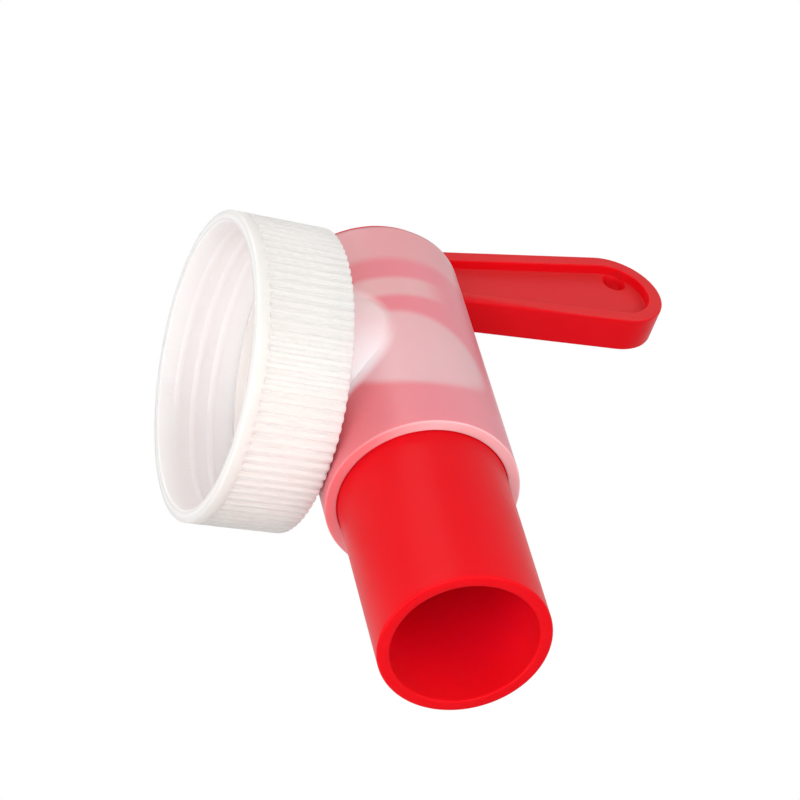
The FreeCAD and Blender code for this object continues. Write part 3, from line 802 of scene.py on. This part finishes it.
class TAP_OT_sealing_washer(bpy.types.Operator):
    """Sealing washer on the cap's end wall"""

    bl_idname = "tap.sealing_washer"
    bl_label = "Sealing washer"

    def execute(self, context):
        inside = COLLAR_RADIUS + WASHER_GAP
        corner = context.scene.tap_sizes.washer_round
        outline = rounded([
            (WASHER_LOW.x, inside, corner),
            (WASHER_LOW.x, WASHER_HIGH.z, corner),
            (WASHER_HIGH.x, WASHER_HIGH.z, corner / 2),
            (WASHER_HIGH.x, inside, corner / 2),
        ])
        piece = turned("sealing_washer_ring", outline, CAP_AXIS, "X")
        finish = washer_foam(context.scene.tap_colours)
        dress(piece, "cap", "sealing_washer", finish)
        return {"FINISHED"}


# Plug

SPOUT_END_ROUND = 0.6 * MM
LOWER_LAND_TOP = 11 * MM
UPPER_LAND_BOTTOM = 18 * MM
UPPER_LAND_TOP = 26 * MM

STOP_DROP = 1.8 * MM  # below the head
STOP_ROOT = 1.0 * MM  # up into the head
STOP_RISE = 1.0 * MM  # beyond the lands
STOP_HALF_ANGLE = math.radians(7)

TIP_STEPS = 28  # steps round the lever's tip
SIDE_STEPS = 10  # steps along each of its straight sides
SILL_POINTS = 3  # points of its lower edge under the recess, in the head
SILL_INSET = 1.0 * MM  # that edge's end behind the heel
SILL_RISE = 0.6 * MM  # and above the lever's foot
LEVER_EDGE_FACETS = 3
LEVER_EDGE_ANGLE = math.radians(35)  # edges that turn by more are rounded
HANG_HOLE_AHEAD = 2.4 * MM  # from the centre of the tip's rounding
HANG_HOLE_UP = 6.2 * MM


class TAP_OT_valve_plug(bpy.types.Operator):
    """Plug with its sealing lands, port, spout, head, stop and lever"""

    bl_idname = "tap.valve_plug"
    bl_label = "Plug, spout and lever"

    def execute(self, context):
        sizes = context.scene.tap_sizes
        piece = self.barrel(sizes)
        combine(piece, self.stop(sizes), "UNION")
        combine(piece, self.lever(sizes), "UNION")
        centre = Vector((PLUG_AXIS.x, 0, -sizes.inlet_drop))
        port = rod("port", centre, "Y", -HEAD_RADIUS, 0, sizes.port_radius)
        combine(piece, port, "DIFFERENCE")
        finish = plug_plastic(context.scene.tap_colours)
        dress(piece, "valve", "valve_plug", finish)
        return {"FINISHED"}

    @staticmethod
    def barrel(sizes):
        """Hollow barrel with its lands and bead, the spout below and the head on top."""
        bore = SPOUT_RADIUS - sizes.spout_wall
        land = SPOUT_RADIUS + sizes.land_rise
        relief = land - sizes.relief_depth
        under = head_bottom(sizes)
        top = under + sizes.head_thickness
        edge = sizes.edge_round
        outline = rounded([
            (PLUG_LOW.z, bore, edge),
            (PLUG_LOW.z, SPOUT_RADIUS, SPOUT_END_ROUND),
            (BODY_LOW.z, SPOUT_RADIUS),
            (BODY_LOW.z, land),
            *bead_section(land, **BEAD),
            (LOWER_LAND_TOP, land),
            (LOWER_LAND_TOP, relief),
            (UPPER_LAND_BOTTOM, relief),
            (UPPER_LAND_BOTTOM, land),
            (UPPER_LAND_TOP, land),
            (UPPER_LAND_TOP, relief),
            (under, relief),
            (under, HEAD_RADIUS, edge),
            (top, HEAD_RADIUS, sizes.head_round),
            (top, 0),
            (under, 0),
            (under, bore, edge),
        ])
        return turned(PLUG_PIECE, divided(outline), PLUG_AXIS, "Z")

    @staticmethod
    def stop(sizes):
        """Short block under the head that travels in the housing's track."""
        low = head_bottom(sizes) - STOP_DROP
        high = head_bottom(sizes) + STOP_ROOT
        land = SPOUT_RADIUS + sizes.land_rise
        inside = land - 2 * sizes.relief_depth
        outside = land + STOP_RISE
        outline = [(low, inside), (low, outside), (high, outside), (high, inside)]
        span = (math.pi - STOP_HALF_ANGLE, math.pi + STOP_HALF_ANGLE)
        return turned("stop", outline, PLUG_AXIS, "Z", part=span)

    def lever(self, sizes):
        """Paddle with a rim all round a thinner web, rounded at every edge."""
        outer, inner = self.lever_outlines(sizes)
        maker = bmesh.new()

        def ring(points, across):
            return [maker.verts.new((PLUG_AXIS.x + x, across, z)) for x, z in points]

        rims = []
        for side in (-1, 1):
            rim = ring(outer, side * sizes.lever_thickness / 2)
            brink = ring(inner, side * sizes.lever_thickness / 2)
            floor = ring(inner, side * sizes.lever_web / 2)
            bridge(maker, rim, brink)
            bridge(maker, brink, floor)
            maker.faces.new(floor)
            rims.append(rim)
        bridge(maker, *rims)
        piece = new_solid("lever", maker)
        edges = piece.modifiers.new("rounded edges", "BEVEL")
        edges.width = sizes.edge_round
        edges.segments = LEVER_EDGE_FACETS
        edges.angle_limit = LEVER_EDGE_ANGLE
        bake_modifiers(piece)
        combine(piece, self.hang_hole(sizes), "DIFFERENCE")
        return piece

    @staticmethod
    def tip_centre(sizes):
        """Centre of the tip's rounding: its place ahead of the plug's axis and its height."""
        radius = sizes.lever_tip_radius
        return PLUG_HIGH.x - PLUG_AXIS.x - radius, PLUG_HIGH.z - radius

    def hang_hole(self, sizes):
        """Cutting form of the hole in the tip, flared at the web's faces."""
        radius, flare, face = sizes.hang_hole_radius, sizes.hang_hole_flare, sizes.lever_web / 2
        outline = [
            (-2 * face, 0), (-2 * face, radius), (-face, radius + flare), (-face + flare, radius),
            (face - flare, radius), (face, radius + flare), (2 * face, radius), (2 * face, 0)]
        ahead, height = self.tip_centre(sizes)
        centre = Vector((PLUG_AXIS.x + ahead + HANG_HOLE_AHEAD, 0, height + HANG_HOLE_UP))
        return turned("hang_hole", outline, centre, "Y")

    def lever_outlines(self, sizes):
        """Outer outline and the recess's outline, with as many points each.

        The sides touch the tip's rounding. The lower one starts at the heel on the head's rim,
        and the upper one ends at the shoulder behind the plug's axis.
        """
        centre = Vector(self.tip_centre(sizes))
        radius = sizes.lever_tip_radius
        under = head_bottom(sizes)
        heel = Vector((HEAD_RADIUS - sizes.lever_heel_inset, under))
        shoulder = Vector((-sizes.lever_root_reach, under + sizes.lever_root_height))
        foot = Vector((shoulder.x - sizes.lever_root_slope, under + sizes.head_thickness / 2))
        sill = Vector((heel.x - SILL_INSET, foot.y + SILL_RISE))

        low = touch_angle(heel, centre, radius, -1)
        high = touch_angle(shoulder, centre, radius, 1)
        if high < low:
            high += FULL_TURN
        arc = [low + (high - low) * step / TIP_STEPS for step in range(TIP_STEPS + 1)]
        tip = [on_circle(centre, angle, radius) for angle in arc]
        recess_share = (sizes.lever_recess_start - foot.x) / (sill.x - foot.x)
        under_recess = foot.lerp(sill, recess_share)
        outer = [
            *spaced(heel, tip[0], SIDE_STEPS),
            *tip,
            *spaced(tip[-1], shoulder, SIDE_STEPS)[1:],
            shoulder,
            foot,
            *spaced(under_recess, sill, SILL_POINTS - 1),
            sill,
        ]
        return outer, self.recess_outline(sizes, centre, arc)

    @staticmethod
    def recess_outline(sizes, centre, arc):
        """The rim's width inside the sides and the tip, and straight at the root."""
        tip = [on_circle(centre, angle, sizes.lever_tip_radius - sizes.lever_rim) for angle in arc]
        ends = []
        for angle, touch in ((arc[0], tip[0]), (arc[-1], tip[-1])):
            along = Vector((-math.sin(angle), math.cos(angle)))
            ends.append(touch + along * ((sizes.lever_recess_start - touch.x) / along.x))
        lower_end, upper_end = ends
        lower = spaced(lower_end, tip[0], SIDE_STEPS + SILL_POINTS)
        return [
            *lower[SILL_POINTS:],
            *tip,
            *spaced(tip[-1], upper_end, SIDE_STEPS)[1:],
            *spaced(upper_end, lower_end, 2),
            *lower[:SILL_POINTS],
        ]


# Body

BORE_LEAD = 0.1 * MM  # chamfer at the bore's ends
TRACK_DROP = 2.05 * MM  # its floor below the head
TRACK_DEPTH = 1.2 * MM  # into the bore's wall
TRACK_SPAN = (math.radians(82), math.radians(188))


class TAP_OT_tap_body(bpy.types.Operator):
    """Housing with its neck, collar, bore, inlet and stop track"""

    bl_idname = "tap.tap_body"
    bl_label = "Tap body"

    def execute(self, context):
        sizes = context.scene.tap_sizes
        piece = self.housing(sizes)
        combine(piece, self.neck(sizes), "UNION")
        combine(piece, self.bore(sizes), "DIFFERENCE")
        combine(piece, self.inlet(sizes), "DIFFERENCE")
        combine(piece, self.stop_track(sizes), "DIFFERENCE")
        finish = body_plastic(context.scene.tap_colours, bpy.data.objects[PLUG_PIECE])
        dress(piece, "body", "tap_body", finish)
        return {"FINISHED"}

    @staticmethod
    def housing(sizes):
        low, high, edge = BODY_LOW.z, BODY_HIGH.z, sizes.edge_round
        outline = rounded([
            (low, 0), (low, HOUSING_RADIUS, edge), (high, HOUSING_RADIUS, edge), (high, 0)])
        return turned("tap_body_moulding", divided(outline), PLUG_AXIS, "Z")

    @staticmethod
    def neck(sizes):
        """Hollow neck, with the collar that snaps in behind the cap's end wall."""
        front = BODY_LOW.x
        back = front + sizes.collar_thickness
        edge = sizes.edge_round
        outline = rounded([
            (front, sizes.neck_bore, edge),
            (front, COLLAR_RADIUS, edge),
            (back, COLLAR_RADIUS, edge),
            (back, sizes.neck_radius),
            (PLUG_AXIS.x, sizes.neck_radius),
            (PLUG_AXIS.x, sizes.neck_bore),
        ])
        return turned("neck", divided(outline), CAP_AXIS, "X")

    @staticmethod
    def bore(sizes):
        """Cutting form of the bore, with the bead's groove and chamfered ends."""
        radius = HOUSING_RADIUS - sizes.housing_wall
        flared = radius + PAST + BORE_LEAD
        low, high = BODY_LOW.z, BODY_HIGH.z
        outline = [
            (low - PAST, 0), (low - PAST, flared), (low + BORE_LEAD, radius),
            *bead_section(radius, **BEAD_GROOVE),
            (high - BORE_LEAD, radius), (high + PAST, flared), (high + PAST, 0)]
        return turned("bore", divided(outline), PLUG_AXIS, "Z")

    @staticmethod
    def inlet(sizes):
        """Cutting form of the round way from the neck to the plug."""
        centre = Vector((0, 0, -sizes.inlet_drop))
        start = PLUG_AXIS.x - HOUSING_RADIUS - PAST
        return rod("inlet", centre, "X", start, PLUG_AXIS.x, sizes.inlet_radius)

    @staticmethod
    def stop_track(sizes):
        """Cutting form of the track in the bore's upper end that limits the plug's turn."""
        bore = HOUSING_RADIUS - sizes.housing_wall
        inside, outside = bore - PAST, bore + TRACK_DEPTH
        floor, top = head_bottom(sizes) - TRACK_DROP, BODY_HIGH.z + PAST
        outline = [(floor, inside), (floor, outside), (top, outside), (top, inside)]
        return turned("track", outline, PLUG_AXIS, "Z", part=TRACK_SPAN)


# Stage, in metres, degrees and watts. The camera looks up at the tap from below.

CAMERA_AIM = (0.0447, -0.0029, -0.0056)
CAMERA_DISTANCE = 0.9433
CAMERA_AZIMUTH = -31.53
CAMERA_ELEVATION = -49.43
CAMERA_ROLL = -16.30
CAMERA_LENS = 189.26  # millimetres, for the sensor's width below
SENSOR_WIDTH = 36.0
CLIP_NEAR, CLIP_FAR = 0.01, 100.0

# Name, place to the right, up and back of the line of sight, width and power of each light
LIGHTS = (
    ("left_light", (-0.75, -0.45, 0.65), 0.7, 4.5),
    ("right_light", (0.8, 0.1, 0.6), 0.7, 3.5),
    ("front_light", (-0.15, 0.15, 0.75), 0.5, 2.3),
    ("spout_light", (0.05, -0.15, 0.85), 0.6, 1.7),
    ("top_light", (-0.4, 1.0, -0.3), 0.8, 3.4),
)
WORLD_LEVEL = 0.4  # light that reaches the object from all round

FLOOR_HEIGHT = -1.75  # under the camera
FLOOR_SIZE = 40.0
FLOOR_COLOUR = (0.85, 0.85, 0.85, 1.0)
FLOOR_GLOW = 0.85  # share of plain white where it is seen directly


class TAP_OT_stage(bpy.types.Operator):
    """Floor, studio light and the camera at the photograph's angle"""

    bl_idname = "tap.stage"
    bl_label = "Stage"

    def execute(self, context):
        self.add_camera(context)
        self.add_lights(context)
        self.add_floor()
        self.light_world(context)
        context.scene.view_settings.view_transform = "Standard"
        return {"FINISHED"}

    @staticmethod
    def camera_turn():
        """Rotation of a camera that looks along +Y at azimuth 0, turned about its line of sight."""
        azimuth = math.radians(CAMERA_AZIMUTH)
        elevation = math.radians(CAMERA_ELEVATION)
        back = Vector((
            math.sin(azimuth) * math.cos(elevation),
            -math.cos(azimuth) * math.cos(elevation),
            math.sin(elevation)))
        upright = (-back).to_track_quat("-Z", "Y").to_matrix()
        return upright @ Matrix.Rotation(math.radians(CAMERA_ROLL), 3, "Z")

    def add_camera(self, context):
        data = bpy.data.cameras.new("camera")
        camera = bpy.data.objects.new("camera", data)
        context.scene.collection.objects.link(camera)
        data.sensor_width = SENSOR_WIDTH
        data.lens = CAMERA_LENS
        data.clip_start, data.clip_end = CLIP_NEAR, CLIP_FAR
        turn = self.camera_turn()
        camera.matrix_world = Matrix.Translation(
            Vector(CAMERA_AIM) + turn @ Vector((0, 0, CAMERA_DISTANCE))) @ turn.to_4x4()
        context.scene.camera = camera

    def add_lights(self, context):
        turn = self.camera_turn()
        for name, place, size, power in LIGHTS:
            data = bpy.data.lights.new(name, "AREA")
            data.shape = "DISK"
            data.size = size
            data.energy = power
            light = bpy.data.objects.new(name, data)
            context.scene.collection.objects.link(light)
            light.location = Vector(CAMERA_AIM) + turn @ Vector(place)
            towards = Vector(CAMERA_AIM) - light.location
            light.rotation_euler = towards.to_track_quat("-Z", "Y").to_euler()
            light.visible_camera = False

    def add_floor(self):
        maker = bmesh.new()
        bmesh.ops.create_grid(maker, x_segments=1, y_segments=1, size=FLOOR_SIZE / 2)
        bmesh.ops.translate(maker, verts=maker.verts, vec=(0, 0, FLOOR_HEIGHT))
        floor = new_piece("floor", maker)
        floor.data.materials.append(self.floor_finish())

    @staticmethod
    def seen_directly(tree):
        """1 for rays from the camera and for those off or through the object."""
        path = tree.nodes.new("ShaderNodeLightPath")
        seen = path.outputs["Is Camera Ray"]
        for name in ("Is Glossy Ray", "Is Transmission Ray"):
            seen = calculate(tree, "MAXIMUM", seen, path.outputs[name])
        return seen

    def floor_finish(self):
        material, tree, shader = new_finish("floor_pale", roughness=0.8)
        shader.inputs["Base Color"].default_value = FLOOR_COLOUR
        glow = tree.nodes.new("ShaderNodeEmission")
        mix = tree.nodes.new("ShaderNodeMixShader")
        share = calculate(tree, "MULTIPLY", self.seen_directly(tree), FLOOR_GLOW)
        tree.links.new(share, mix.inputs[0])
        tree.links.new(shader.outputs[0], mix.inputs[1])
        tree.links.new(glow.outputs[0], mix.inputs[2])
        tree.links.new(mix.outputs[0], tree.nodes["Material Output"].inputs["Surface"])
        return material

    def light_world(self, context):
        world = bpy.data.worlds.new("studio")
        world.use_nodes = True
        tree = world.node_tree
        background = tree.nodes["Background"]
        background.inputs["Color"].default_value = (1, 1, 1, 1)
        level = calculate(tree, "MULTIPLY", self.seen_directly(tree), 1.0 - WORLD_LEVEL)
        strength = calculate(tree, "ADD", level, WORLD_LEVEL)
        tree.links.new(strength, background.inputs["Strength"])
        context.scene.world = world


class TAP_PT_panel(bpy.types.Panel):
    """Lists the tap's pieces, sizes and colours"""

    bl_idname = "TAP_PT_panel"
    bl_label = "Bottle tap"
    bl_space_type = "VIEW_3D"
    bl_region_type = "UI"
    bl_category = "Bottle tap"

    def draw(self, context):
        for operator in OPERATORS:
            self.layout.operator(operator.bl_idname)
        for group in (context.scene.tap_sizes, context.scene.tap_colours):
            box = self.layout.box()
            for name in group.__annotations__:
                box.prop(group, name)


OPERATORS = (
    TAP_OT_screw_cap,
    TAP_OT_sealing_washer,
    TAP_OT_valve_plug,
    TAP_OT_tap_body,
    TAP_OT_stage,
)
CLASSES = (TapSizes, TapColours, *OPERATORS, TAP_PT_panel)


def register():
    for item in CLASSES:
        bpy.utils.register_class(item)
    bpy.types.Scene.tap_sizes = bpy.props.PointerProperty(type=TapSizes)
    bpy.types.Scene.tap_colours = bpy.props.PointerProperty(type=TapColours)


def unregister():
    del bpy.types.Scene.tap_colours
    del bpy.types.Scene.tap_sizes
    for item in reversed(CLASSES):
        bpy.utils.unregister_class(item)


def main():
    register()
    for operator in OPERATORS:
        group, name = operator.bl_idname.split(".")
        getattr(getattr(bpy.ops, group), name)()


if __name__ == "__main__":
    main()
